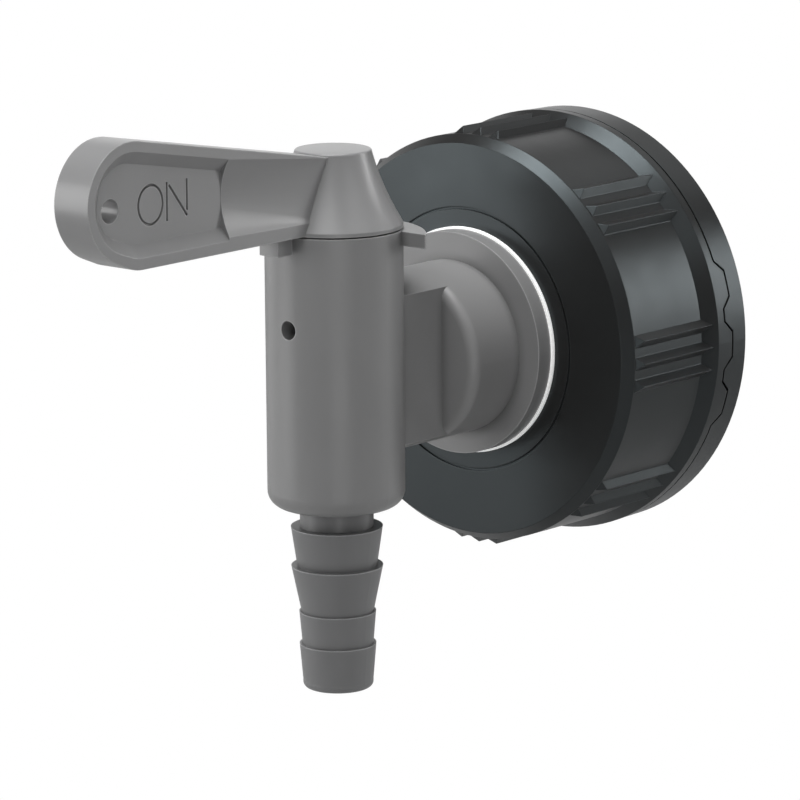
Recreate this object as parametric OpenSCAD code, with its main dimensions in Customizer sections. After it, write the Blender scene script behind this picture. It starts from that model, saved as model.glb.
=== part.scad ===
// Outlet tap with a screw cap for a canister.
// The canister neck leaves the cap towards +Y, the barrel stands upright along Z
// in front of the cap, the hose tail points down and the lever points away to -Y.
// The origin is on the cap axis, in the plane where the cap's thread wall ends at the tamper band.

/* [Barrel] */
// Outside diameter of the upright barrel
barrel_d = 22; // [20:0.5:26]
// Height of the barrel's rim above the inlet axis
barrel_rise = 22.85; // [21:0.05:27]
// Depth of the barrel's foot below the inlet axis
barrel_drop = 22; // [21.5:0.5:28]
// Rounding of the barrel's foot
barrel_edge = 2.8; // [0.5:0.1:3]
// Diameter of the seat that the plug turns in
seat_d = 15.2; // [14.6:0.1:16]
// Diameter of the air hole in the front of the barrel
air_hole_d = 3; // [2:0.1:3.6]
// Height of the air passage above the inlet axis
air_rise = 8; // [7.8:0.1:9.5]

/* [Stops] */
// Radius of the stop ledge's curved outer edge
ledge_r = 18.6; // [18:0.1:20]
// How far the centre of that curve lies in front of the barrel axis
ledge_offset = 6.2; // [5.6:0.1:6.6]
// Distance of the two stop faces behind the barrel axis
stop_face_y = 4.9; // [4.9:0.1:6]
// Height of the stop ledge
ledge_h = 2.3; // [1.5:0.1:3]
// Gap from the top of the ledge up to the barrel's rim
ledge_inset = 0.15; // [0:0.05:1]

/* [Inlet] */
// Diameter of the round neck
neck_d = 28.4; // [26:0.2:30]
// How far the neck's axis lies below the cap axis
neck_drop = 0.5; // [0:0.1:1]
// Width across the two wrench flats
flats_w = 14.8; // [13:0.2:18]
// Distance from the barrel axis to the end of the flats
flats_reach = 17.4; // [15:0.1:20]
// Rounding of the collar's front edge
collar_edge = 1.7; // [0.5:0.1:2.5]
// Length of the full round collar
collar_len = 11.2; // [6:0.1:16]
// Diameter of the flange
flange_d = 36.5; // [34:0.5:40]
// Thickness of the flange
flange_t = 3; // [2:0.1:5]
// Outside diameter of the threaded stub that passes through the cap
stub_d = 26.4; // [26:0.1:27]
// Diameter of the liquid passage
passage_d = 10; // [8:0.1:10.4]
// How far the liquid passage lies below the cap axis
passage_drop = 2.5; // [1.8:0.1:3]
// Length of the air nozzle behind the stub
nozzle_len = 2.5; // [1:0.1:4]

/* [Lever] */
// Thickness of the lever's blade
lever_t = 7; // [6:0.1:9]
// Distance from the barrel axis to the centre of the blade's round end
lever_reach = 49.15; // [40:0.05:60]
// Radius of the blade's round end
lever_end_r = 9.4; // [8.5:0.05:11]
// How far the round end's lowest point lies above the blade's foot
lever_end_lift = 1; // [0:0.1:2]
// Radius of the heel, where the blade's foot turns up towards the round end
heel_r = 7; // [3:0.1:8]
// Distance from the centre of the round end back to the centre of the heel
heel_in = 2; // [1:0.05:6]
// Gap from the cone's foot up to the blade's foot
blade_gap = 0.15; // [0.05:0.05:1]
// Slope of the blade's top edge
lever_slope = 10.5; // [8:0.1:12]
// Height of the cone that carries the blade
cone_h = 12.4; // [11.5:0.1:15]
// Upright band at the foot of the cone
cone_land = 0.6; // [0.3:0.1:2]
// Diameter of the cone just under its flat top
cone_top_d = 12.3; // [11.5:0.1:14]
// Rounding of the cone's top edge
cone_edge = 0.4; // [0.2:0.1:1]
// How far the cone's side is hollowed at its middle height
cone_hollow = 0.5; // [0:0.05:0.8]
// Depth of the pocket in each face
pocket_depth = 1.6; // [0.8:0.1:2.2]
// Width of the rim around the pocket
rim_w = 1.6; // [1.2:0.1:2.5]
// Distance from the barrel axis to the pocket's inner end
pocket_near = 27.8; // [24:0.1:32]
// Diameter of the hole near the end of the blade
tag_hole_d = 3.7; // [2:0.1:4]
// How far that hole lies beyond the centre of the round end
tag_hole_out = 3.1; // [0:0.1:4]
// How far that hole lies below the centre of the round end
tag_hole_drop = 0.95; // [0:0.05:2]
// Width of the stop lug under the blade
lug_w = 3.9; // [3:0.1:3.9]
// Distance from the barrel axis to the lug's outer face
lug_r = 15.3; // [14.5:0.1:15.4]
// How far the lug hangs below the blade
lug_h = 2.85; // [2.5:0.05:3.2]

/* [Plug] */
// Bore of the hollow plug
plug_bore_d = 8.4; // [7:0.1:8.6]
// Diameter of the plug's lower journal
journal_d = 12.2; // [11.8:0.1:12.4]
// Width across the flats of the square that drives the plug
drive_w = 7.6; // [6.5:0.1:8]
// Height of that square
drive_h = 8; // [5:0.1:9]
// Thickness of the thrust washer and of the retaining clip
clip_t = 0.8; // [0.6:0.05:1]

/* [Hose tail] */
// Diameter of the tail's head and of its socket in the barrel
tail_head_d = 15; // [14.6:0.1:15.6]
// Length of the tail's head
tail_head_h = 4.7; // [4.4:0.1:5]
// Diameter of the neck under the barrel
tail_neck_d = 11.8; // [10.5:0.1:12.5]
// Length of that neck
tail_neck_len = 3.3; // [1:0.1:6]
// Diameter of the two large barbs
large_barb_d = 14.7; // [14:0.1:16]
// Length of each large barb
large_barb_len = 6.95; // [5:0.05:9]
// Diameter of the two small barbs
small_barb_d = 12.3; // [11.6:0.1:13.4]
// Length of each small barb
small_barb_len = 6.3; // [4:0.1:8]
// Bore of the hose tail
tail_bore_d = 7; // [5:0.1:8]

/* [Cap] */
// Diameter of the cap's plain wall at the root of its thread
cap_bore_d = 61.2; // [59:0.1:63]
// Thickness of the cap's side wall between the ribs
cap_wall_t = 2.9; // [2.5:0.1:4]
// How far the ring behind the ribs stands out from the side wall
cap_ring_h = 1.55; // [1.2:0.05:2.2]
// How far the edge of the flat front face is set in from the side wall
cap_face_inset = 1.3; // [0.8:0.1:2.5]
// Length of the cap with its tamper band
cap_len = 29.55; // [28.5:0.05:34]
// Length of the chamfer round the front face
cap_chamfer = 1.9; // [1:0.1:3]
// Thickness of the cap's front wall
cap_front_t = 3; // [2:0.1:4]
// Length of the wall that carries the thread
thread_len = 10.3; // [9:0.1:10.3]
// Rib groups around the cap
rib_groups = 8; // [6:1:10]
// Ribs in each group
rib_count = 3; // [1:1:5]
// Pitch of the ribs in a group, in degrees
rib_pitch = 6.2; // [5:0.1:7]
// Height of a rib
rib_h = 1.1; // [0.6:0.05:1.3]
// Width of a rib at its foot
rib_w = 2.1; // [1.2:0.1:2.8]
// Diameter of the fine groove in the front face
face_groove_d = 43.2; // [40:0.1:56]

/* [Tamper band] */
// Length of the band where the split is straight
band_len = 6.15; // [5:0.05:8]
// Width of the split between cap and band
split_w = 0.4; // [0.15:0.05:0.5]
// Length of the teeth that cross the split
tooth_h = 1.95; // [1:0.05:2.5]
// Width of a tooth at its tip
tooth_tip_w = 4; // [2:0.1:5]
// Width of a tooth at its foot
tooth_foot_w = 7.8; // [6:0.1:8.4]
// Pitch of the teeth, in degrees
tooth_pitch = 16.4; // [15:0.1:20]

/* [Washers, seals and nut] */
// Diameter of the white washer between flange and cap
washer_d = 37.2; // [35:0.1:40]
// Thickness of that washer
washer_t = 0.6; // [0.4:0.1:2]
// Thickness of the cap's own gasket
gasket_t = 2; // [1:0.1:3]
// Thickness of the slip washer inside the cap
slip_t = 1; // [0.6:0.1:1.6]
// Thickness of the back nut
nut_t = 5.2; // [4:0.1:6]
// Width across the flats of the back nut
nut_w = 33; // [31:0.5:36]
// Thickness of the ring seals on plug and stub
seal_t = 1.5; // [1.2:0.05:1.7]

/* [Hidden] */
$fn = 96;
// Running clearance of a turning shaft in its hole, on the radius
run_fit = 0.05;
// Clearance of a piece that is pushed home and stays, on each side
push_fit = 0.03;
// Play along the axis between pieces that turn on each other
end_play = 0.05;
// Open seam between barrel and lever
seam_gap = 0.25;
// Overlap that joins two shapes of one piece
lap = 0.5;
// Thin slice that a blended cut starts from
sliver = 0.01;

barrel_r = barrel_d / 2;
seat_r = seat_d / 2;
plug_r = seat_r - run_fit;
air_r = air_hole_d / 2;
neck_r = neck_d / 2;
passage_r = passage_d / 2;
stub_r = stub_d / 2;
journal_r = journal_d / 2;

// Stations along Y, counted from the barrel axis
flange_front = flats_reach + collar_len;
flange_back = flange_front + flange_t;
cap_front = flange_back + washer_t + end_play;
cap_inside = cap_front + cap_front_t;
nut_front = cap_inside + end_play + slip_t;
stub_end = nut_front + nut_t + 1;
split_y = cap_front + cap_len - band_len;
cap_back = cap_front + cap_len;
stub_seal_y = cap_front + cap_front_t / 2;

// Stations along Z
lever_foot = barrel_rise + seam_gap;
blade_foot = lever_foot + blade_gap;
end_z = blade_foot + lever_end_r + lever_end_lift;
// Centres [y, z] of the blade's round end and of its heel
blade_tip = [-lever_reach, end_z];
blade_heel = [heel_in - lever_reach, blade_foot + heel_r];
shelf_top = -13.2;
shelf_t = 1.4;
shelf_foot = shelf_top - shelf_t;
tail_top = tail_head_h - barrel_drop;
washer_foot = shelf_foot - clip_t;
clip_top = washer_foot - end_play;
plug_foot = clip_top - clip_t - 0.7;

// Root of the clip's groove in the plug, rim of the clip and bore around it
clip_seat_r = journal_r - 0.75;
clip_outer_r = journal_r + 0.9;
clip_bore_r = clip_outer_r + 0.2;

// Ring seals
seal_r = seal_t / 2;
groove_play = 0.3;
plug_seal_r = plug_r - seal_r;
upper_seal_z = (air_rise + air_r + barrel_rise) / 2;
lower_seal_z = shelf_top + 2.4;
tail_seal_z = tail_top - 1.9;
tail_seal_section = 0.6;
tail_head_r = tail_head_d / 2;
tail_socket_r = tail_head_r + push_fit;
tail_seal_r = tail_head_r - tail_seal_section;
stub_seal_r = stub_r - seal_r;

// Saddle seals pressed against the plug around the two passages
saddle_in = seat_r + 0.02;
saddle_out = seat_r + 1.4;
port_lip = 1.5;
air_lip = 1.2;

// Cap
cap_bore_r = cap_bore_d / 2;
cap_wall_r = cap_bore_r + cap_wall_t;
cap_r = cap_wall_r + cap_ring_h;
cap_face_r = cap_wall_r - cap_face_inset;
// Step from the thread wall out to the plain wall in front of it
thread_relief = 0.4;
back_taper = 0.19;
band_r = cap_r - back_taper;
ring_len = 7.8;
ring_ramp = 2.55;
ring_y = cap_back - ring_len;
rib_front = cap_front + cap_chamfer + 0.25;
hole_r = stub_r + run_fit;
// The slip washer is nearly as wide as the flange on the other side of the cap's wall
slip_r = flange_d / 2 - 0.25;

// Moves the tap from the barrel axis to the shared origin
module place() {
    translate([0, -split_y, 0]) children();
}

// Round bar along Y between two stations
module rod_y(r, from, to, z = 0) {
    translate([0, from, z]) rotate([-90, 0, 0]) cylinder(r = r, h = to - from);
}

// Round bar along Z between two heights
module rod_z(r, from, to) {
    translate([0, 0, from]) cylinder(r = r, h = to - from);
}

// Flat ring across the Z axis
module ring_z(outer, inner, from, to) {
    difference() {
        rod_z(outer, from, to);
        rod_z(inner, from - 1, to + 1);
    }
}

// Flat ring across the Y axis
module ring_y(outer, inner, from, to) {
    difference() {
        rod_y(outer, from, to);
        rod_y(inner, from - 1, to + 1);
    }
}

// Turned shape about the Y axis, from a half profile of [radius, y]
module turned_y() {
    rotate([-90, 0, 0]) rotate_extrude() children();
}

// Profile that rounds the lower outer corner [r, z] of a turned shape when it is cut away
module outer_fillet(r, z, edge) {
    difference() {
        translate([r - edge, z - 1]) square([edge + 1, edge + 1]);
        translate([r - edge, z + edge]) circle(r = edge, $fn = 48);
    }
}

// Seal ring across the Z axis
module seal_z(mean, section, z) {
    translate([0, 0, z]) rotate_extrude() translate([mean, 0]) circle(r = section, $fn = 32);
}

// Groove for a seal ring across the Z axis
module seal_groove_z(outer, mean, section, z) {
    half = section + groove_play / 2;
    ring_z(outer + 1, mean - section - push_fit, z - half, z + half);
}

// Barrel, from a half profile with its foot rounded
module barrel_shape() {
    rotate_extrude() {
        translate([0, barrel_edge - barrel_drop]) square([barrel_r, barrel_rise + barrel_drop - barrel_edge]);
        translate([0, -barrel_drop]) square([barrel_r - barrel_edge, barrel_edge + sliver]);
        translate([barrel_r - barrel_edge, barrel_edge - barrel_drop]) circle(r = barrel_edge);
    }
}

// Ledge behind the barrel whose two front faces stop the lever's lug
module stop_ledge() {
    top = barrel_rise - ledge_inset;
    intersection() {
        translate([0, -ledge_offset, 0]) rod_z(ledge_r, top - ledge_h, top);
        translate([-ledge_r, stop_face_y, top - ledge_h]) cube([2 * ledge_r, ledge_r, ledge_h]);
    }
}

// Round neck with two wrench flats, running into the flange
module neck_shape() {
    translate([0, 0, -neck_drop]) {
        intersection() {
            rod_y(neck_r, 0, flats_reach + collar_edge);
            translate([-flats_w / 2, 0, -neck_r]) cube([flats_w, flats_reach + collar_edge + lap, neck_d]);
        }
        turned_y() {
            translate([0, flats_reach + collar_edge]) square([neck_r, collar_len - collar_edge + lap]);
            translate([0, flats_reach]) square([neck_r - collar_edge, collar_edge + sliver]);
            translate([neck_r - collar_edge, flats_reach + collar_edge]) circle(r = collar_edge);
        }
    }
    rod_y(flange_d / 2, flange_front, flange_back);
    rod_y(stub_r, flange_back - lap, stub_end);
    rod_y(air_r + 1, stub_end - lap, stub_end + nozzle_len, air_rise);
}

// Groove in the stub for its seal ring
module stub_groove() {
    half = seal_r + groove_play / 2;
    ring_y(stub_r + 1, stub_seal_r - seal_r - push_fit, stub_seal_y - half, stub_seal_y + half);
}

// Pocket for a saddle seal round a passage
module saddle_pocket(r, z) {
    intersection() {
        rod_y(r + push_fit, 0, barrel_r, z);
        rod_z(saddle_out + push_fit, z - r - 1, z + r + 1);
    }
}

// Body moulding: barrel, stop ledge, neck, flange and threaded stub
module tap_body() {
    color("#7f8081") place() difference() {
        union() {
            barrel_shape();
            stop_ledge();
            neck_shape();
        }
        rod_z(seat_r, shelf_top, barrel_rise + 1);
        rod_z(journal_r + run_fit, shelf_foot - 1, shelf_top + 1);
        rod_z(clip_bore_r, tail_top - 1, shelf_foot);
        rod_z(tail_socket_r, -barrel_drop - 1, tail_top);
        rod_y(passage_r, 0, stub_end + 1, -passage_drop);
        rod_y(air_r, -barrel_r - 1, stub_end + nozzle_len + 1, air_rise);
        saddle_pocket(passage_r + port_lip, -passage_drop);
        saddle_pocket(air_r + air_lip, air_rise);
        stub_groove();
    }
}

// Saddle-shaped seal round a passage, between barrel and plug
module saddle_seal(r, lip, z) {
    difference() {
        intersection() {
            rod_y(r + lip, 0, barrel_r, z);
            rod_z(saddle_out, z - r - lip - 1, z + r + lip + 1);
        }
        rod_z(saddle_in, z - r - lip - 2, z + r + lip + 2);
        rod_y(r, -1, barrel_r + 1, z);
    }
}

module port_seal() {
    color("#2b2b2b") place() saddle_seal(passage_r, port_lip, -passage_drop);
}

module air_seal() {
    color("#2b2b2b") place() saddle_seal(air_r, air_lip, air_rise);
}

// Outline of the blade in the plane of Y and Z: a round end, a round heel and straight edges
module blade_outline() {
    hull() {
        translate(blade_tip) circle(r = lever_end_r, $fn = 120);
        translate(blade_heel) circle(r = heel_r, $fn = 120);
        translate([-lap, blade_foot]) square([lap, blade_top(0) - blade_foot]);
    }
}

// Upright slice of the blade, starting at x
module blade_slice(x, t) {
    translate([x, 0, 0]) rotate([90, 0, 90]) linear_extrude(t) children();
}

// Top edge of the blade at a distance in front of the barrel axis
function blade_top(y) = end_z + lever_end_r / cos(lever_slope) + (lever_reach - y) * -tan(lever_slope);

// Pocket with sloped walls in the blade's +X face
module blade_pocket() {
    floor_x = lever_t / 2 - pocket_depth;
    wall = pocket_depth * 1.2;
    mouth_r = lever_end_r - rim_w;
    near_top = blade_top(pocket_near) - rim_w;
    foot_rim = rim_w + 0.15;
    near_foot = blade_foot + foot_rim;
    hull() {
        blade_slice(floor_x, sliver) translate(blade_tip) circle(r = mouth_r - wall, $fn = 40);
        blade_slice(floor_x, sliver) translate(blade_heel) circle(r = heel_r - foot_rim - wall, $fn = 40);
        blade_slice(floor_x, sliver) translate([-pocket_near - 0.2, near_foot + wall])
            square([sliver, near_top - near_foot - 2 * wall]);
        blade_slice(lever_t / 2, sliver) translate(blade_tip) circle(r = mouth_r, $fn = 40);
        blade_slice(lever_t / 2, sliver) translate(blade_heel) circle(r = heel_r - foot_rim, $fn = 40);
        blade_slice(lever_t / 2, sliver) translate([-pocket_near, near_foot])
            square([sliver, near_top - near_foot]);
    }
}

// Shallow cove along the blade between pocket and cone
module blade_cove() {
    far_foot = blade_foot + rim_w + 0.7;
    far_half = (blade_top(pocket_near) - rim_w - far_foot) / 2;
    near_half = cone_h / 2 - 1.3;
    far_z = far_foot + far_half;
    near_z = blade_foot + rim_w + 0.3 + near_half;
    hull() {
        cove_slice(-pocket_near - 0.5, far_z, far_half, pocket_depth - 0.02);
        cove_slice(-barrel_r / 2, near_z, near_half, 0.3);
    }
}

// Slice of the cove: an arc that is deepest at its middle height
module cove_slice(y, z, half, depth) {
    translate([lever_t / 2, y, z]) rotate([90, 0, 0]) linear_extrude(sliver)
        polygon(concat([[0.5, half], [0.5, -half]],
            [for (i = [-8:8]) [-depth * (1 - pow(i / 8, 2)), half * i / 8]]));
}

// Cone that carries the blade: its side is slightly hollow and its top edge is rounded
module lever_cone() {
    top = lever_foot + cone_h;
    foot = lever_foot + cone_land;
    top_r = cone_top_d / 2;
    steps = 10;
    side = [for (i = [0:steps]) let (t = i / steps)
        [barrel_r + (top_r - barrel_r) * t - 4 * cone_hollow * t * (1 - t),
            foot + (top - cone_edge - foot) * t]];
    edge = [for (a = [18:18:90])
        [top_r - cone_edge + cone_edge * cos(a), top - cone_edge + cone_edge * sin(a)]];
    rotate_extrude() polygon(concat([[0, lever_foot], [barrel_r, lever_foot]], side, edge, [[0, top]]));
}

// Lug under the blade that meets the stop faces
module stop_lug() {
    inner = barrel_r + 0.9;
    intersection() {
        translate([-lug_w / 2, -lug_r, blade_foot - lug_h]) cube([lug_w, lug_r - inner, lug_h + lap]);
        rod_z(lug_r, blade_foot - lug_h, blade_foot + lap);
    }
}

// Lever: blade with a pocket in each face, cone, stop lug and the socket for the plug's square
module lever() {
    socket = drive_w + 2 * push_fit;
    color("#858687") place() difference() {
        union() {
            difference() {
                blade_slice(-lever_t / 2, lever_t) blade_outline();
                for (side = [0, 1]) mirror([side, 0, 0]) {
                    blade_pocket();
                    blade_cove();
                }
                translate([-lever_t, -lever_reach - tag_hole_out, end_z - tag_hole_drop]) rotate([0, 90, 0])
                    cylinder(d = tag_hole_d, h = 2 * lever_t);
            }
            lever_cone();
            stop_lug();
        }
        translate([-socket / 2, -socket / 2, lever_foot - 1]) cube([socket, socket, drive_h + 1 + push_fit]);
    }
}

// Hollow plug with a window to the inlet, an air bore across it and a square to drive it
module plug() {
    color("#d9dadb") place() difference() {
        union() {
            rod_z(plug_r, shelf_top + end_play, lever_foot);
            rod_z(journal_r, plug_foot, shelf_top + 1);
            translate([-drive_w / 2, -drive_w / 2, lever_foot - lap]) cube([drive_w, drive_w, drive_h + lap]);
        }
        rod_z(plug_bore_d / 2, plug_foot - 1, plug_bore_d / 2 - passage_drop);
        rod_y(plug_bore_d / 2, 0, barrel_r, -passage_drop);
        rod_y(air_r, -barrel_r, barrel_r, air_rise);
        seal_groove_z(plug_r, plug_seal_r, seal_r, upper_seal_z);
        seal_groove_z(plug_r, plug_seal_r, seal_r, lower_seal_z);
        ring_z(journal_r + 1, clip_seat_r, clip_top - clip_t - push_fit, clip_top + push_fit);
    }
}

module plug_seal_upper() {
    color("#262626") place() seal_z(plug_seal_r, seal_r, upper_seal_z);
}

module plug_seal_lower() {
    color("#262626") place() seal_z(plug_seal_r, seal_r, lower_seal_z);
}

// Washer between the body's shelf and the clip
module thrust_washer() {
    color("#e4e2da") place()
        ring_z(clip_outer_r, journal_r + run_fit, washer_foot, washer_foot + clip_t);
}

// Open clip that snaps into the plug's groove and keeps the plug down
module retaining_clip() {
    reach = clip_outer_r + 3;
    color("#b5b8bb") place() difference() {
        ring_z(clip_outer_r, clip_seat_r + push_fit, clip_top - clip_t, clip_top);
        translate([0, 0, clip_top - clip_t - 1]) linear_extrude(clip_t + 2)
            polygon([[0, 0], [-0.6 * reach, -reach], [0.6 * reach, -reach]]);
    }
}

// Hose tail, a turned shape with a head in the barrel and four barbs for two hose sizes
module hose_tail() {
    head_r = tail_head_r;
    neck = tail_neck_d / 2;
    large = large_barb_d / 2;
    small = small_barb_d / 2;
    bore = tail_bore_d / 2;
    end_edge = 1;
    z0 = -barrel_drop;
    z1 = z0 - tail_neck_len;
    z2 = z1 - large_barb_len + 0.55;
    z3 = z1 - 2 * large_barb_len;
    z4 = z3 - small_barb_len + 1;
    z5 = z3 - 2 * small_barb_len;
    end_r = small - 0.5;
    color("#6f7072") place() difference() {
        rotate_extrude() difference() {
            polygon([[bore, tail_top], [head_r, tail_top], [head_r, z0], [neck, z0], [neck, z1],
                [large, z1], [large - 0.95, z2], [large, z2], [small - 0.35, z3],
                [small, z3], [small - 0.45, z4], [small, z4], [end_r, z5 + end_edge + 0.4],
                [end_r, z5], [bore, z5]]);
            outer_fillet(end_r, z5, end_edge);
        }
        seal_groove_z(head_r, tail_seal_r, tail_seal_section, tail_seal_z);
        translate([0, 0, tail_top - 1.2]) cylinder(r1 = bore - sliver, r2 = plug_bore_d / 2 + 0.6, h = 1.2 + sliver);
    }
}

module tail_seal() {
    color("#262626") place() seal_z(tail_seal_r, tail_seal_section, tail_seal_z);
}

// White washer between the flange and the cap
module flange_washer() {
    color("white") place() ring_y(washer_d / 2, stub_r + run_fit, flange_back, flange_back + washer_t);
}

module stub_seal() {
    color("#262626") place() translate([0, stub_seal_y, 0]) rotate([-90, 0, 0])
        rotate_extrude() translate([stub_seal_r, 0]) circle(r = seal_r, $fn = 32);
}

// Washer that lets the cap turn against the back nut
module slip_washer() {
    color("#e4e2da") place() ring_y(slip_r, stub_r + run_fit, cap_inside + end_play, nut_front);
}

// Hexagon nut on the stub, inside the cap
module back_nut() {
    color("#5d5f61") place() difference() {
        intersection() {
            translate([0, nut_front, 0]) rotate([-90, 0, 0])
                cylinder(r = nut_w / 2 / cos(30), h = nut_t, $fn = 6);
            turned_y() polygon([[0, nut_front], [nut_w / 2 + 2.4, nut_front],
                [nut_w / 2 + 2.4, nut_front + nut_t - 1.3], [nut_w / 2 + 0.1, nut_front + nut_t],
                [0, nut_front + nut_t]]);
        }
        rod_y(stub_r + run_fit, nut_front - 1, nut_front + nut_t + 1);
    }
}

// Half profile of the cap from its front face back to the tips of its teeth
module cap_profile() {
    back = split_y + tooth_h;
    thread_front = split_y - thread_len;
    relief_r = cap_bore_r + thread_relief;
    polygon([[hole_r, cap_front], [cap_face_r, cap_front],
        [cap_wall_r, cap_front + cap_chamfer], [cap_wall_r, ring_y - ring_ramp], [cap_r, ring_y],
        [cap_r - back_taper * (back - ring_y) / ring_len, back], [cap_bore_r, back],
        [cap_bore_r, thread_front], [relief_r, thread_front - thread_relief],
        [relief_r, cap_inside], [hole_r, cap_inside]]);
}

// One grip rib: a ridge of triangular section along the side wall
module rib() {
    foot = 0.6;
    half = rib_w / 2 * (rib_h + foot) / rib_h;
    translate([0, cap_front, 0]) rotate([-90, 0, 0]) linear_extrude(ring_y - cap_front)
        polygon([[cap_wall_r - foot, half], [cap_wall_r - foot, -half], [cap_wall_r + rib_h, 0]]);
}

// Envelope that bevels the front ends of the ribs and keeps their rear ends inside the ramp
module rib_envelope() {
    over = 0.3;
    back = ring_y - ring_ramp * 0.15;
    turned_y() polygon([[cap_bore_r + 1, rib_front - 0.5], [cap_wall_r - 0.5, rib_front - 0.5],
        [cap_wall_r + rib_h + over, rib_front + rib_h + over], [cap_wall_r + rib_h + over, back],
        [cap_bore_r + 1, back]]);
}

// Tooth across the split, grown on all its free sides by a margin
module tooth(margin) {
    foot = tooth_foot_w / 2 + margin;
    tip = tooth_tip_w / 2 + margin * 0.6;
    spread = (foot - tip) * lap / tooth_h;
    translate([cap_bore_r - 1, split_y, 0]) rotate([0, 90, 0]) linear_extrude(cap_r - cap_bore_r + 2)
        polygon([[foot + spread, -lap], [tip, tooth_h + margin], [-tip, tooth_h + margin], [-foot - spread, -lap]]);
}

// Three teeth on each side of the band
module teeth(margin) {
    for (half = [0, 1], k = [-1:1])
        rotate([0, half * 180 + k * tooth_pitch + 0.7, 0]) tooth(margin);
}

// Screw cap with grip ribs, its centre hole and the teeth at its rear edge
module screw_cap() {
    color("#3b4247") place() {
        difference() {
            turned_y() cap_profile();
            difference() {
                ring_y(cap_r + 1, cap_bore_r - 1, split_y, cap_back);
                teeth(0);
            }
            ring_y(face_groove_d / 2 + 0.2, face_groove_d / 2 - 0.2, cap_front - 1, cap_front + 0.3);
        }
        intersection() {
            for (group = [0:rib_groups - 1], k = [0:rib_count - 1])
                rotate([0, group * 360 / rib_groups + (k - (rib_count - 1) / 2) * rib_pitch + 0.6, 0]) rib();
            rib_envelope();
        }
    }
}

// Flat gasket that the canister's mouth is pressed against
module cap_gasket() {
    color("#d8d5c8") place()
        ring_y(cap_bore_r - 0.3, nut_w / 2 + 5, cap_inside, cap_inside + gasket_t);
}

// Half profile of the tamper band, with a bead that catches under the neck's rim
module band_profile() {
    front = split_y + split_w;
    polygon([[cap_bore_r + 0.4, front], [cap_r - back_taper * 0.45, front], [band_r, cap_back - 0.5],
        [band_r - 0.5, cap_back], [cap_bore_r + 0.4, cap_back],
        [cap_bore_r + 0.05, cap_back - 1.2], [cap_bore_r + 0.4, cap_back - 2.8]]);
}

// Tamper band with thin bridges that hold it to the cap until it is first opened
module tamper_band() {
    bridge = 1;
    color("#363d42") place() {
        difference() {
            turned_y() band_profile();
            teeth(split_w);
        }
        for (i = [0:7]) rotate([0, 45 * i + 22.5 + 0.7, 0])
            translate([cap_bore_r + 0.6, split_y, -bridge / 2]) cube([bridge, split_w + lap, bridge]);
    }
}

tap_body();
lever();
plug();
plug_seal_upper();
plug_seal_lower();
port_seal();
air_seal();
thrust_washer();
retaining_clip();
hose_tail();
tail_seal();
flange_washer();
stub_seal();
slip_washer();
back_nut();
screw_cap();
cap_gasket();
tamper_band();
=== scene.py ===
# %% [markdown]
# # An outlet tap with a screw cap
# The real object is a moulded plastic tap for a canister. A grey barrel stands upright, a lever on a
# cone turns the plug inside it, a darker hose tail hangs below, and a dark screw cap closes on the
# canister's neck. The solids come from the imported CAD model, which is loaded first. It is a fixed
# frame: this script gives it soft edges, finishes, lettering, a thread, a camera and light, and it
# never moves or resizes a solid.

# %% Load the frame
import math
import bmesh
import bpy
from mathutils import Matrix, Vector


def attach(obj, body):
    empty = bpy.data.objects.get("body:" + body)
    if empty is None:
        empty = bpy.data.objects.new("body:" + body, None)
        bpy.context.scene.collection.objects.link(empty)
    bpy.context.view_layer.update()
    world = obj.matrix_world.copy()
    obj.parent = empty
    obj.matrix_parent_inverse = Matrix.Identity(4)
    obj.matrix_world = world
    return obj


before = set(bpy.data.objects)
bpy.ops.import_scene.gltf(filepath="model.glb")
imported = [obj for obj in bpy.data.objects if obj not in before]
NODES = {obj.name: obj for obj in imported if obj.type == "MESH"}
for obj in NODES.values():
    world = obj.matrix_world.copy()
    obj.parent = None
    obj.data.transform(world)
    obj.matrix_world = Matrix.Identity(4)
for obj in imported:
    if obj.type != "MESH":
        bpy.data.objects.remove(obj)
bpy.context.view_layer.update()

MM = 0.001

# %% [markdown]
# ## Where things are
# The shared origin lies on the cap's axis, so the barrel's axis is some way in front of it. Most of
# the sizes below are measured from the barrel's axis, and one helper turns them into places. A
# second helper turns two angles into a direction, for the camera and for the lamps.

# %% Places and directions
BARREL_Y = -55.65 * MM


def at(x, y, z):
    """A place in millimetres from the barrel's axis, as a vector in metres."""
    return Vector((x * MM, BARREL_Y + y * MM, z * MM))


def direction(azimuth, elevation):
    """A unit vector away from the tap, from degrees. Azimuth 0 faces the lever, 90 is the +X side."""
    a, e = math.radians(azimuth), math.radians(elevation)
    return Vector((math.sin(a) * math.cos(e), -math.cos(a) * math.cos(e), math.sin(e)))


print("barrel axis at y =", BARREL_Y)

# %% [markdown]
# ## Camera
# A camera is found by fitting a few known circles and edges of the object to their places in the
# photograph. That gives a direction, a roll, a distance and a focal length. The camera is then built
# from three vectors: right, up and back. This is safer than typing Euler angles.

# %% Camera at the photograph's angle
CAMERA_AZIMUTH = 41.163
CAMERA_ELEVATION = 11.856
CAMERA_ROLL = math.radians(-0.456)
CAMERA_PLACE = at(536.94, -598.6, 163.82)
FOCAL_PIXELS = 5176
IMAGE_PIXELS = 800
SENSOR_MM = 36


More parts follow.
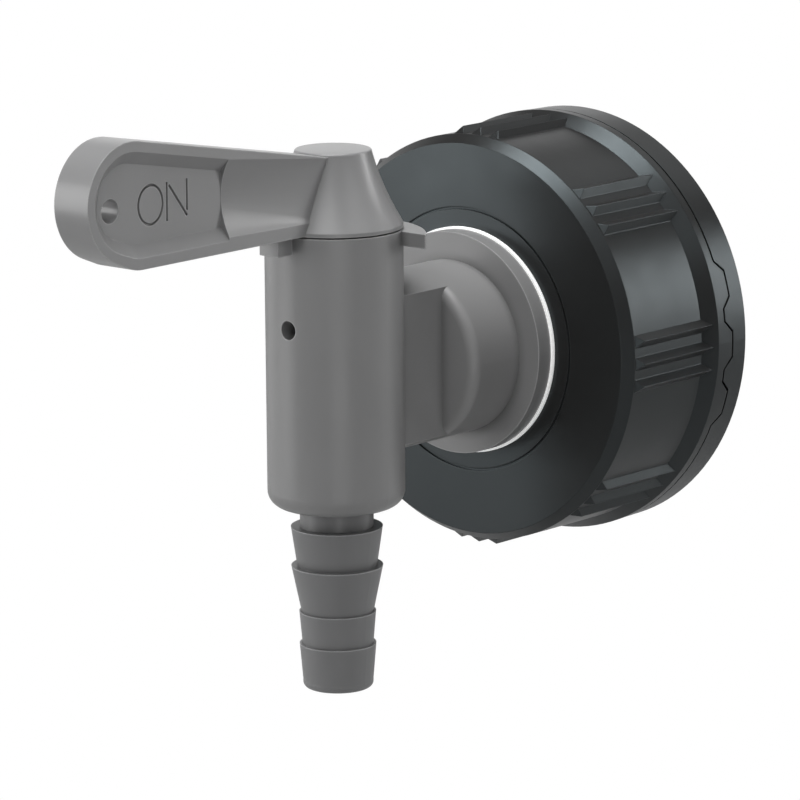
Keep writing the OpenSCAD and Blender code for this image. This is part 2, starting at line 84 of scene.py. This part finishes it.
def make_camera():
    back = direction(CAMERA_AZIMUTH, CAMERA_ELEVATION)
    level_right = (-back).cross(Vector((0, 0, 1))).normalized()
    level_up = level_right.cross(-back)
    right = math.cos(CAMERA_ROLL) * level_right + math.sin(CAMERA_ROLL) * level_up
    up = math.cos(CAMERA_ROLL) * level_up - math.sin(CAMERA_ROLL) * level_right
    data = bpy.data.cameras.new("photo_camera")
    data.sensor_width = SENSOR_MM
    data.lens = FOCAL_PIXELS / IMAGE_PIXELS * SENSOR_MM
    data.clip_start = 0.05
    data.clip_end = 20
    camera = bpy.data.objects.new("photo_camera", data)
    camera.matrix_world = Matrix((
        (right.x, up.x, back.x, CAMERA_PLACE.x),
        (right.y, up.y, back.y, CAMERA_PLACE.y),
        (right.z, up.z, back.z, CAMERA_PLACE.z),
        (0, 0, 0, 1)))
    bpy.context.scene.collection.objects.link(camera)
    bpy.context.scene.camera = camera
    return camera


camera = make_camera()
print("lens", round(camera.data.lens, 1), "mm, place", [round(v, 3) for v in camera.location])

# %% [markdown]
# ## Floor and light
# The object is shown against plain white. The floor lies well below it, so no hard shadow reaches
# it. Light Path nodes give the camera a white world and a white floor, and leave the light on the
# object as it is: the floor's own grey only sets how much light comes back up from it. The
# photograph was taken between soft panels with dark gaps, and both can be seen mirrored in the
# plastic. An even world would fill the gaps and flatten the ribs, so the world is nearly dark and
# ten soft lamps stand where the panels were. Those on the left shape the barrel, those above light
# the ledge and the chamfer, and those behind are mirrored by the cap's side. Their powers come from a
# least-squares fit made outside this script. Candidate lamps were rendered one at a time and weighed
# against the photograph's tones at 69 places. The fit's powers were rounded, and some were then
# changed, so they suit this picture and aren't a measurement of the real lamps.

# %% Small helpers for nodes
WHITE = (1, 1, 1, 1)


def add(tree, kind, **values):
    """A new node of a kind, with some of its properties set."""
    node = tree.nodes.new(kind)
    for name, value in values.items():
        setattr(node, name, value)
    return node


def put(node, values):
    """Set some of a node's inputs by name, and give the node back."""
    for label, value in values.items():
        node.inputs[label].default_value = value
    return node


def empty_material(name):
    """A new material with an empty node tree."""
    paint = bpy.data.materials.new(name)
    paint.use_nodes = True
    paint.node_tree.nodes.clear()
    return paint, paint.node_tree


def split_by_camera(tree, true_shader, seen_shader, output):
    """Show one shader to the camera, and leave the true one to all other rays."""
    path = add(tree, "ShaderNodeLightPath")
    mix = add(tree, "ShaderNodeMixShader")
    out = add(tree, output)
    tree.links.new(path.outputs["Is Camera Ray"], mix.inputs["Fac"])
    tree.links.new(true_shader.outputs[0], mix.inputs[1])
    tree.links.new(seen_shader.outputs[0], mix.inputs[2])
    tree.links.new(mix.outputs[0], out.inputs["Surface"])


# %% World
WORLD_FILL = 0.05


def make_world():
    world = bpy.data.worlds.new("studio")
    world.use_nodes = True
    tree = world.node_tree
    tree.nodes.clear()
    light = put(add(tree, "ShaderNodeBackground"), {"Color": WHITE, "Strength": WORLD_FILL})
    seen = put(add(tree, "ShaderNodeBackground"), {"Color": WHITE, "Strength": 1.0})
    split_by_camera(tree, light, seen, "ShaderNodeOutputWorld")
    bpy.context.scene.world = world


make_world()
print("world:", bpy.context.scene.world.name)

# %% Floor
FLOOR_Z = -0.16
FLOOR_SIZE = 8.0
FLOOR_GREY = (0.42, 0.42, 0.42, 1)


def make_floor():
    mesh = bpy.data.meshes.new("floor")
    half = FLOOR_SIZE / 2
    corners = [(-half, -half, 0), (half, -half, 0), (half, half, 0), (-half, half, 0)]
    mesh.from_pydata(corners, [], [(0, 1, 2, 3)])
    floor = bpy.data.objects.new("floor", mesh)
    floor.location = (0, 0, FLOOR_Z)
    bpy.context.scene.collection.objects.link(floor)
    paint, tree = empty_material("floor_white")
    matt = put(add(tree, "ShaderNodeBsdfDiffuse"), {"Color": FLOOR_GREY})
    seen = put(add(tree, "ShaderNodeEmission"), {"Color": WHITE, "Strength": 1.0})
    split_by_camera(tree, matt, seen, "ShaderNodeOutputMaterial")
    mesh.materials.append(paint)


make_floor()
print("floor at z =", FLOOR_Z)

# %% Lamps
# Each lamp: azimuth and elevation in degrees, distance, width and height in metres, power in watts.
LAMPS = {
    "key_left": (-45, 6, 0.9, 0.45, 0.55, 3.7),
    "left_side": (-85, 6, 0.9, 0.5, 0.8, 2.4),
    "front_right": (50, -8, 1.0, 0.4, 0.4, 2.3),
    "front_top": (25, 52, 0.9, 0.45, 0.45, 2.2),
    "top": (-40, 86, 0.9, 0.52, 0.52, 9.0),
    "right_high": (90, 40, 1.0, 0.5, 0.5, 0.9),
    "back_right": (142, 12, 1.0, 0.26, 0.42, 2.7),
    "back_low": (139, -10, 1.0, 0.3, 0.3, 0.6),
    "backdrop_left": (-138, 10, 1.1, 0.9, 0.9, 2.1),
    "back_top": (178, 42, 1.0, 0.5, 0.5, 0.5),
}
LAMP_TARGET = at(0, 10, 0)


def make_lamp(name, azimuth, elevation, distance, width, height, power):
    """A soft white rectangular lamp that faces the tap."""
    away = direction(azimuth, elevation)
    data = bpy.data.lights.new(name, "AREA")
    data.shape = "RECTANGLE"
    data.size = width
    data.size_y = height
    data.energy = power
    lamp = bpy.data.objects.new(name, data)
    lamp.location = LAMP_TARGET + away * distance
    lamp.rotation_euler = (-away).to_track_quat("-Z", "Y").to_euler()
    bpy.context.scene.collection.objects.link(lamp)


for name, values in LAMPS.items():
    make_lamp(name, *values)
bpy.context.scene.view_settings.view_transform = "Standard"

# %% [markdown]
# ## Moulded plastic
# All the big pieces are injection moulded. Such a surface is never quite plain: the mould's fine
# spark-eroded grain makes a soft sheen, the melt flows in faint cloudy streaks, and hands leave
# smoother patches. Light and shade are also painted into the colour: a painted highlight makes
# outer edges lighter, and painted shade makes the corners darker. An ambient occlusion node finds
# both: its short rays meet the next face close to an edge when they look into the solid, and in a
# corner when they look out of it. These effects are shared, so each one is a shader node group,
# built once and placed in each material with its own values. A group puts out only a colour, a
# roughness or a height.

# %% Helpers for groups
def new_group(name, inputs, outputs):
    """An empty shader group with inputs {name: default} and outputs {name: socket type}.

    A default of four numbers makes a colour input, and a single number makes a float input.
    """
    group = bpy.data.node_groups.new(name, "ShaderNodeTree")
    for label, value in inputs.items():
        kind = "NodeSocketColor" if isinstance(value, tuple) else "NodeSocketFloat"
        socket = group.interface.new_socket(name=label, in_out="INPUT", socket_type=kind)
        socket.default_value = value
    for label, kind in outputs.items():
        group.interface.new_socket(name=label, in_out="OUTPUT", socket_type=kind)
    return group, group.nodes.new("NodeGroupInput"), group.nodes.new("NodeGroupOutput")


def object_place(tree):
    """Where a point lies on its own object, in metres."""
    return add(tree, "ShaderNodeTexCoord").outputs["Object"]


def noise(tree, place, scale, detail, rough):
    """Noise of a fixed scale, as a value."""
    values = {"Scale": scale, "Detail": detail, "Roughness": rough}
    node = put(add(tree, "ShaderNodeTexNoise"), values)
    tree.links.new(place, node.inputs["Vector"])
    return node.outputs[0]


def math_node(tree, operation, a, b):
    """The result of one step of arithmetic on two values, each a number or a socket."""
    node = add(tree, "ShaderNodeMath", operation=operation)
    for i, value in enumerate((a, b)):
        if isinstance(value, (int, float)):
            node.inputs[i].default_value = value
        else:
            tree.links.new(value, node.inputs[i])
    return node.outputs[0]


def tinted(tree, color, change):
    """A colour made lighter by a share of itself, or darker where the share is below zero."""
    factor = math_node(tree, "ADD", change, 1.0)
    tint = add(tree, "ShaderNodeVectorMath", operation="SCALE")
    tree.links.new(color, tint.inputs[0])
    tree.links.new(factor, tint.inputs["Scale"])
    return tint.outputs[0]


# %% Group: mould grain
GRAIN_SCALE = 5200
WAVE_SCALE = 95


def make_mould_grain():
    """Fine grain and a slight waviness of a moulded surface, as a height."""
    group, come, go = new_group("mould_grain", {"Grain": 0.5, "Wave": 0.5},
                                {"Height": "NodeSocketFloat"})
    place = object_place(group)
    fine = noise(group, place, GRAIN_SCALE, detail=2, rough=0.6)
    broad = noise(group, place, WAVE_SCALE, detail=2, rough=0.5)
    a = math_node(group, "MULTIPLY", fine, come.outputs["Grain"])
    b = math_node(group, "MULTIPLY", broad, come.outputs["Wave"])
    group.links.new(math_node(group, "ADD", a, b), go.inputs["Height"])
    return group


mould_grain = make_mould_grain()
print("group", mould_grain.name)

# %% Group: flow clouds
def make_flow_clouds():
    """Cloudy flow of pigment in the melt, which darkens or lightens the base colour a little."""
    inputs = {"Color": (0.5, 0.5, 0.5, 1), "Strength": 0.06, "Scale": 60.0}
    group, come, go = new_group("flow_clouds", inputs, {"Color": "NodeSocketColor"})
    cloud = put(add(group, "ShaderNodeTexNoise"), {"Detail": 4, "Distortion": 1.2})
    group.links.new(object_place(group), cloud.inputs["Vector"])
    group.links.new(come.outputs["Scale"], cloud.inputs["Scale"])
    centred = math_node(group, "SUBTRACT", cloud.outputs[0], 0.5)
    swing = math_node(group, "MULTIPLY", centred, come.outputs["Strength"])
    change = math_node(group, "MULTIPLY", swing, 2.0)
    group.links.new(tinted(group, come.outputs["Color"], change), go.inputs["Color"])
    return group


flow_clouds = make_flow_clouds()
print("group", flow_clouds.name)

# %% Group: handled sheen
PATCH_LOW = 0.3
PATCH_HIGH = 0.7


def make_handled_sheen():
    """Patches that hands and rubbing have made smoother: a roughness between two limits."""
    group, come, go = new_group("handled_sheen", {"Smooth": 0.3, "Rough": 0.5, "Scale": 40.0},
                                {"Roughness": "NodeSocketFloat"})
    patch = put(add(group, "ShaderNodeTexNoise"), {"Detail": 5, "Roughness": 0.65})
    group.links.new(object_place(group), patch.inputs["Vector"])
    group.links.new(come.outputs["Scale"], patch.inputs["Scale"])
    limits = {"From Min": PATCH_LOW, "From Max": PATCH_HIGH}
    spread = put(add(group, "ShaderNodeMapRange"), limits)
    group.links.new(patch.outputs[0], spread.inputs["Value"])
    group.links.new(come.outputs["Smooth"], spread.inputs["To Min"])
    group.links.new(come.outputs["Rough"], spread.inputs["To Max"])
    group.links.new(spread.outputs["Result"], go.inputs["Roughness"])
    return group


handled_sheen = make_handled_sheen()
print("group", handled_sheen.name)

# %% Groups: painted edge highlights and painted corner shade
def make_edge_tone(name, inside):
    """Painted highlight or shade: a colour that changes by Strength at an outer edge (inside) or in a
    corner (not inside).
    """
    inputs = {"Color": (0.5, 0.5, 0.5, 1), "Width": 0.0003, "Strength": 1.0}
    group, come, go = new_group(name, inputs, {"Color": "NodeSocketColor"})
    openness = add(group, "ShaderNodeAmbientOcclusion", samples=4, inside=inside, only_local=True)
    group.links.new(come.outputs["Width"], openness.inputs["Distance"])
    near = math_node(group, "SUBTRACT", 1.0, openness.outputs["AO"])
    change = math_node(group, "MULTIPLY", near, come.outputs["Strength"])
    group.links.new(tinted(group, come.outputs["Color"], change), go.inputs["Color"])
    return group


painted_edge_highlight = make_edge_tone("painted_edge_highlight", inside=True)
painted_corner_shade = make_edge_tone("painted_corner_shade", inside=False)
print("groups", painted_edge_highlight.name, painted_corner_shade.name)

# %% [markdown]
# ## The plastics
# Each plastic is one Principled shader fed by the five groups. A Bevel node rounds the normals at
# the edges, and a Bump node lays the grain over them. Its height is in metres, so ten microns are
# enough. The barrel and lever are a satin grey acetal, the hose tail is a little darker, and the cap
# is a cool slate with a waxier sheen.

# %% Plastic material
EDGE_RADIUS = 0.3 * MM
# A painted highlight lightens the colour this close to an outer edge.
EDGE_HIGHLIGHT_WIDTH = 0.22 * MM
# Painted shade darkens the colour this close to a corner, by the share below.
CORNER_WIDTH = 1.6 * MM
CORNER_SHADE_STRENGTH = 0.5
GRAIN_HEIGHT = 0.01 * MM


def rounded_edges(tree, radius):
    """A normal that turns smoothly over each edge, as the small radius of a mould does."""
    edge = put(add(tree, "ShaderNodeBevel", samples=6), {"Radius": radius})
    return edge.outputs["Normal"]


def effect(tree, group, values):
    """One shared group placed in a material, with its own values."""
    return put(add(tree, "ShaderNodeGroup", node_tree=group), values)


def moulded_plastic(name, color, smooth, rough, clouds=0.05, grain=0.5, wave=0.4, specular=0.5,
                    sheen_tint=(1, 1, 1), edge=EDGE_RADIUS, glow=0.0, edge_highlight=0.3):
    """A plastic or rubber whose roughness lies between smooth and rough."""
    paint, tree = empty_material(name)
    shader = add(tree, "ShaderNodeBsdfPrincipled")
    shader.inputs["Specular IOR Level"].default_value = specular
    shader.inputs["Specular Tint"].default_value = (*sheen_tint, 1)
    # A glow is painted light: the part shines though it is no lamp.
    if glow:
        shader.inputs["Emission Color"].default_value = WHITE
        shader.inputs["Emission Strength"].default_value = glow
    cloud = effect(tree, flow_clouds, {"Color": (*color, 1), "Strength": clouds})
    # Painted shade darkens the colour in corners, and a painted highlight lightens it at outer edges.
    corner_shade = effect(tree, painted_corner_shade, {"Width": CORNER_WIDTH, "Strength": -CORNER_SHADE_STRENGTH})
    highlight_tone = effect(tree, painted_edge_highlight, {"Width": EDGE_HIGHLIGHT_WIDTH, "Strength": edge_highlight})
    sheen = effect(tree, handled_sheen, {"Smooth": smooth, "Rough": rough})
    relief = effect(tree, mould_grain, {"Grain": grain, "Wave": wave})
    bumps = put(add(tree, "ShaderNodeBump"), {"Strength": 1.0, "Distance": GRAIN_HEIGHT})
    out = add(tree, "ShaderNodeOutputMaterial")
    tree.links.new(cloud.outputs["Color"], corner_shade.inputs["Color"])
    tree.links.new(corner_shade.outputs["Color"], highlight_tone.inputs["Color"])
    tree.links.new(highlight_tone.outputs["Color"], shader.inputs["Base Color"])
    tree.links.new(sheen.outputs["Roughness"], shader.inputs["Roughness"])
    tree.links.new(relief.outputs["Height"], bumps.inputs["Height"])
    tree.links.new(rounded_edges(tree, edge), bumps.inputs["Normal"])
    tree.links.new(bumps.outputs["Normal"], shader.inputs["Normal"])
    tree.links.new(shader.outputs[0], out.inputs["Surface"])
    return paint


SLATE = {"clouds": 0.08, "grain": 0.7, "sheen_tint": (0.78, 0.94, 1.0)}
# Barrel, lever and tail get a stronger painted highlight on their outer edges.
barrel_grey = moulded_plastic("barrel_grey", (0.21, 0.21, 0.211), 0.34, 0.46,
                              edge=0.2 * MM, edge_highlight=1.5)
lever_grey = moulded_plastic("lever_grey", (0.228, 0.228, 0.23), 0.27, 0.37,
                             edge=0.18 * MM, edge_highlight=1.1)
tail_grey = moulded_plastic("tail_grey", (0.164, 0.165, 0.167), 0.3, 0.42,
                            edge=0.2 * MM, edge_highlight=2.4)
cap_slate = moulded_plastic("cap_slate", (0.0175, 0.0168, 0.0165), 0.28, 0.4,
                            edge=0.2 * MM, specular=0.38, **SLATE)
band_slate = moulded_plastic("band_slate", (0.0168, 0.0162, 0.016), 0.28, 0.4,
                             edge=0.12 * MM, specular=0.42, **SLATE)
nut_grey = moulded_plastic("nut_grey", (0.12, 0.125, 0.13), 0.38, 0.52)
plug_natural = moulded_plastic("plug_natural", (0.55, 0.55, 0.52), 0.3, 0.42)
slip_natural = moulded_plastic("slip_natural", (0.68, 0.67, 0.62), 0.3, 0.42)
PLASTICS = ("grey", "slate", "natural")
print("plastics:", [m.name for m in bpy.data.materials if m.name.endswith(PLASTICS)])

# %% [markdown]
# ## Rubber, foam and steel
# The white washer and the seals are rubber: matt, with a coarser grain and no gloss. The washer is
# thin enough to let some light through, and a small glow paints that light onto it: painted light
# that also keeps it white in the shade between the flange and the cap. The cap's gasket is a
# foamed sheet, whose tiny cells show as pits. The clip is spring steel, drawn in one direction, so
# its grain is stretched noise.

# %% Rubber and foam
PIT_SCALE = 900
PIT_HEIGHT = 0.06 * MM
seal_black = moulded_plastic("seal_black", (0.018, 0.018, 0.018), 0.5, 0.62,
                             grain=0.8, wave=0.1, specular=0.35)
# The washer's glow is painted light that keeps it white in the shade between flange and cap.
washer_white = moulded_plastic("washer_white", (0.95, 0.96, 0.95), 0.5, 0.65,
                               clouds=0.02, grain=0.8, wave=0.1, glow=0.3, edge_highlight=0.0)


def foam_sheet(name, color):
    """Closed-cell foam: small round pits, in place of the grain, over a soft matt colour."""
    paint = moulded_plastic(name, color, 0.6, 0.75, clouds=0.04)
    tree = paint.node_tree
    pits = put(add(tree, "ShaderNodeTexVoronoi"), {"Scale": PIT_SCALE})
    tree.links.new(object_place(tree), pits.inputs["Vector"])
    bumps = next(node for node in tree.nodes if node.type == "BUMP")
    bumps.inputs["Distance"].default_value = PIT_HEIGHT
    tree.links.new(pits.outputs["Distance"], bumps.inputs["Height"])
    return paint


gasket_foam = foam_sheet("gasket_foam", (0.56, 0.54, 0.47))
print("foam", gasket_foam.name)

# %% Spring steel
DRAWN_SCALE = (300, 300, 6000)
CLIP_EDGE = 0.08 * MM


def drawn_steel(name):
    """Bright steel with fine streaks along one direction."""
    paint, tree = empty_material(name)
    shader = add(tree, "ShaderNodeBsdfPrincipled")
    shader.inputs["Metallic"].default_value = 1.0
    shader.inputs["Base Color"].default_value = (0.55, 0.56, 0.57, 1)
    stretch = put(add(tree, "ShaderNodeMapping"), {"Scale": DRAWN_SCALE})
    streaks = noise(tree, stretch.outputs["Vector"], 1.0, detail=3, rough=0.6)
    limits = put(add(tree, "ShaderNodeMapRange"), {"To Min": 0.22, "To Max": 0.42})
    out = add(tree, "ShaderNodeOutputMaterial")
    tree.links.new(object_place(tree), stretch.inputs["Vector"])
    tree.links.new(streaks, limits.inputs["Value"])
    tree.links.new(limits.outputs["Result"], shader.inputs["Roughness"])
    tree.links.new(rounded_edges(tree, CLIP_EDGE), shader.inputs["Normal"])
    tree.links.new(shader.outputs[0], out.inputs["Surface"])
    return paint


clip_steel = drawn_steel("clip_steel")
print("steel", clip_steel.name)

# %% [markdown]
# ## Finishes on the solids
# A solid whose shape is right keeps its mesh and only gets a finish. A real moulding has no knife
# edges: the mould's own edges are slightly round, and that small radius catches the light. A Bevel
# modifier could cut it, but on a mesh made of many thin triangles it tears. The Bevel node in each
# material bends the normals over an edge instead, whatever the triangles are.

# %% Give each solid its finish
FINISHES = {
    "tap_body": barrel_grey, "lever": lever_grey, "hose_tail": tail_grey, "screw_cap": cap_slate,
    "tamper_band": band_slate, "back_nut": nut_grey, "plug": plug_natural,
    "thrust_washer": slip_natural, "slip_washer": slip_natural, "retaining_clip": clip_steel,
    "flange_washer": washer_white, "cap_gasket": gasket_foam, "plug_seal_upper": seal_black,
    "plug_seal_lower": seal_black, "port_seal": seal_black, "air_seal": seal_black,
    "tail_seal": seal_black, "stub_seal": seal_black,
}


def finish_solid(name, paint):
    solid = NODES[name]
    solid.data.materials.clear()
    solid.data.materials.append(paint)
    for face in solid.data.polygons:
        face.material_index = 0


for name, paint in FINISHES.items():
    finish_solid(name, paint)
print("finished", len(FINISHES), "solids")

# %% [markdown]
# ## Shading after a cut
# The lettering will be cut into the lever, and a cut spoils the normals that came with its mesh. A
# small Geometry Nodes group works them out again: every edge is smooth, except where two faces meet
# at more than a set angle. The cut needs a closed mesh, so a Weld modifier first joins the faces.

# %% Group: crisp shading
SHARP_OVER = math.radians(25)
WELD_DISTANCE = 0.01 * MM


def crisp_shading():
    group = bpy.data.node_groups.new("crisp_shading", "GeometryNodeTree")
    for in_out in ("INPUT", "OUTPUT"):
        group.interface.new_socket(name="Geometry", in_out=in_out,
                                   socket_type="NodeSocketGeometry")
    come, go = group.nodes.new("NodeGroupInput"), group.nodes.new("NodeGroupOutput")
    forget = put(add(group, "GeometryNodeRemoveAttribute"), {"Name": "custom_normal"})
    faces = add(group, "GeometryNodeSetShadeSmooth", domain="FACE")
    every_edge = add(group, "GeometryNodeSetShadeSmooth", domain="EDGE")
    sharp_edges = add(group, "GeometryNodeSetShadeSmooth", domain="EDGE")
    sharp_edges.inputs["Shade Smooth"].default_value = False
    angle = add(group, "GeometryNodeInputMeshEdgeAngle")
    over = add(group, "FunctionNodeCompare", data_type="FLOAT", operation="GREATER_THAN")
    over.inputs[1].default_value = SHARP_OVER
    chain = [come, forget, faces, every_edge, sharp_edges, go]
    for a, b in zip(chain, chain[1:]):
        group.links.new(a.outputs[0], b.inputs[0])
    group.links.new(angle.outputs["Unsigned Angle"], over.inputs[0])
    group.links.new(over.outputs["Result"], sharp_edges.inputs["Selection"])
    return group


lever_shading = crisp_shading()
weld = NODES["lever"].modifiers.new("weld", "WELD")
weld.merge_threshold = WELD_DISTANCE
print("group", lever_shading.name)

# %% [markdown]
# ## Lettering
# The lever says ON in its pocket, cut as thin grooves by a round tool. A groove shows as a dark line
# with a lighter edge, so it is made as real geometry: a thin dark inlay would look printed. Each
# stroke becomes a bar along a path, and a Boolean modifier cuts the bars from the lever. The bars
# ride on the lever's body, or the words would stay behind when the lever turns. The far side has
# the same pocket and says OFF.

# %% Helpers for swept forms
def skin(bm, rings, closed):
    """Faces from each ring of points to the next, and over both ends of an open path."""
    count, size = len(rings), len(rings[0])
    for i in range(count if closed else count - 1):
        a, b = rings[i], rings[(i + 1) % count]
        for k in range(size):
            m = (k + 1) % size
            bm.faces.new((a[k], b[k], b[m], a[m]))
    if not closed:
        bm.faces.new(rings[0])
        bm.faces.new(list(reversed(rings[-1])))


def mesh_object(name, bm):
    """A new object in the scene, made of the faces built so far, all turned outward."""
    bmesh.ops.recalc_face_normals(bm, faces=bm.faces[:])
    mesh = bpy.data.meshes.new(name)
    bm.to_mesh(mesh)
    bm.free()
    made = bpy.data.objects.new(name, mesh)
    bpy.context.scene.collection.objects.link(made)
    return made


# %% Letter strokes
LETTER_H = 6.0
STROKE_W = 0.42
STROKE_DEPTH = 0.36
OVERSHOOT = 0.4
# Across the stroke, and out of the pocket's floor: a groove with a narrow foot.
STROKE_SECTION = [
    (-STROKE_W / 2, OVERSHOOT), (-STROKE_W / 2, -STROKE_DEPTH * 0.4), (-STROKE_W / 5, -STROKE_DEPTH),
    (STROKE_W / 5, -STROKE_DEPTH), (STROKE_W / 2, -STROKE_DEPTH * 0.4), (STROKE_W / 2, OVERSHOOT),
]


def oval(width, height, steps=40):
    angles = [2 * math.pi * i / steps for i in range(steps)]
    return [(width / 2 + width / 2 * math.cos(angle), height / 2 + height / 2 * math.sin(angle))
            for angle in angles]


# Each letter: its width, and its strokes as a path and whether that path is closed.
LETTERS = {
    "O": (5.3, [(oval(5.3, LETTER_H), True)]),
    "N": (4.4, [([(0, 0), (0, LETTER_H)], False), ([(0.45, LETTER_H - 0.5), (4.4, 0.3)], False),
                ([(4.4, 1.1), (4.4, LETTER_H)], False)]),
    "F": (3.0, [([(0, 0), (0, LETTER_H)], False), ([(0, LETTER_H), (3.0, LETTER_H)], False),
                ([(0, LETTER_H * 0.52), (2.5, LETTER_H * 0.52)], False)]),
}


def stroke_bar(bm, path, closed, to_world):
    """A bar with a rounded foot that follows a flat path, as a cutter for one stroke."""
    count = len(path)
    rings = []
    for i, point in enumerate(path):
        before = path[(i - 1) % count] if closed or i > 0 else point
        after = path[(i + 1) % count] if closed or i < count - 1 else point
        along = Vector((after[0] - before[0], after[1] - before[1], 0)).normalized()
        side = Vector((-along.y, along.x, 0))
        centre = Vector((point[0], point[1], 0))
        rings.append([bm.verts.new(to_world(centre + side * u + Vector((0, 0, w))))
                      for u, w in STROKE_SECTION])
    skin(bm, rings, closed)


print("letters:", sorted(LETTERS))

# %% Cut the lettering
POCKET_FLOOR = 1.9
LETTER_FOOT_Z = 29.55
LETTER_GAP = 0.95
# Each cutter: its word, where the word starts along the lever, and the side it is cut from.
WORDS = {"letters_on": ("ON", -46.1, 1), "letters_off": ("OFF", -34.2, -1)}


def letter_cutter(name, word, start_y, side):
    """Cutters for one word on the lever's +X (side 1) or -X (side -1) pocket floor."""
    bm = bmesh.new()
    cursor = 0.0
    for letter in word:
        width, strokes = LETTERS[letter]

        def to_world(p, offset=cursor):
            across = side * (POCKET_FLOOR + p.z)
            return at(across, start_y + side * (offset + p.x), LETTER_FOOT_Z + p.y)

        for path, closed in strokes:
            stroke_bar(bm, path, closed, to_world)
        cursor += width + LETTER_GAP
    cutter = mesh_object(name, bm)
    cutter.hide_render = True
    cutter.hide_viewport = True
    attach(cutter, "plug")
    return cutter


def cut_letters(cutter):
    cut = NODES["lever"].modifiers.new(cutter.name, "BOOLEAN")
    cut.operation = "DIFFERENCE"
    cut.solver = "EXACT"
    cut.object = cutter
    cut.use_self = True


for name, (word, start_y, side) in WORDS.items():
    cut_letters(letter_cutter(name, word, start_y, side))
shading = NODES["lever"].modifiers.new("crisp_shading", "NODES")
shading.node_group = lever_shading
print("lever modifiers:", [m.name for m in NODES["lever"].modifiers])

# %% [markdown]
# ## The cap's thread
# Inside the cap a coarse thread grips the canister's neck. In the CAD model the thread is a smooth
# wall, because a helix is heavy there and the wall at its root is what the mating check measures.
# Here the ridge is swept along a helix, ring by ring, and it fades in and out at both ends as a
# moulded thread does.

# %% Thread ridge
THREAD_ROOT = 30.62
THREAD_RISE = 1.2
THREAD_START_Y = 46.4
THREAD_PITCH = 4.0
THREAD_TURNS = 2
STEPS_PER_TURN = 96
FADE_STEPS = 14
FADED_RISE = 0.02
FADED_WIDTH = 0.3
# Outward from the wall's root, and along the cap's axis.
THREAD_SECTION = [
    (0.15, -1.35), (-THREAD_RISE * 0.8, -0.55), (-THREAD_RISE, -0.35),
    (-THREAD_RISE, 0.35), (-THREAD_RISE * 0.8, 0.55), (0.15, 1.35),
]


def thread_ridge(name="cap_thread"):
    bm = bmesh.new()
    steps = THREAD_TURNS * STEPS_PER_TURN
    rings = []
    for i in range(steps + 1):
        turn = i / STEPS_PER_TURN
        fade = min(1.0, i / FADE_STEPS, (steps - i) / FADE_STEPS)
        angle = 2 * math.pi * turn
        ring = []
        for rise, along in THREAD_SECTION:
            radius = THREAD_ROOT + (rise if rise > 0 else rise * max(fade, FADED_RISE))
            y = THREAD_START_Y + THREAD_PITCH * turn + along * max(fade, FADED_WIDTH)
            ring.append(bm.verts.new(at(radius * math.cos(angle), y, -radius * math.sin(angle))))
        rings.append(ring)
    skin(bm, rings, closed=False)
    ridge = mesh_object(name, bm)
    for face in ridge.data.polygons:
        face.use_smooth = True
    ridge.data.materials.append(cap_slate)
    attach(ridge, "cap")
    return ridge


thread = thread_ridge()
print("thread ridge:", len(thread.data.vertices), "points")
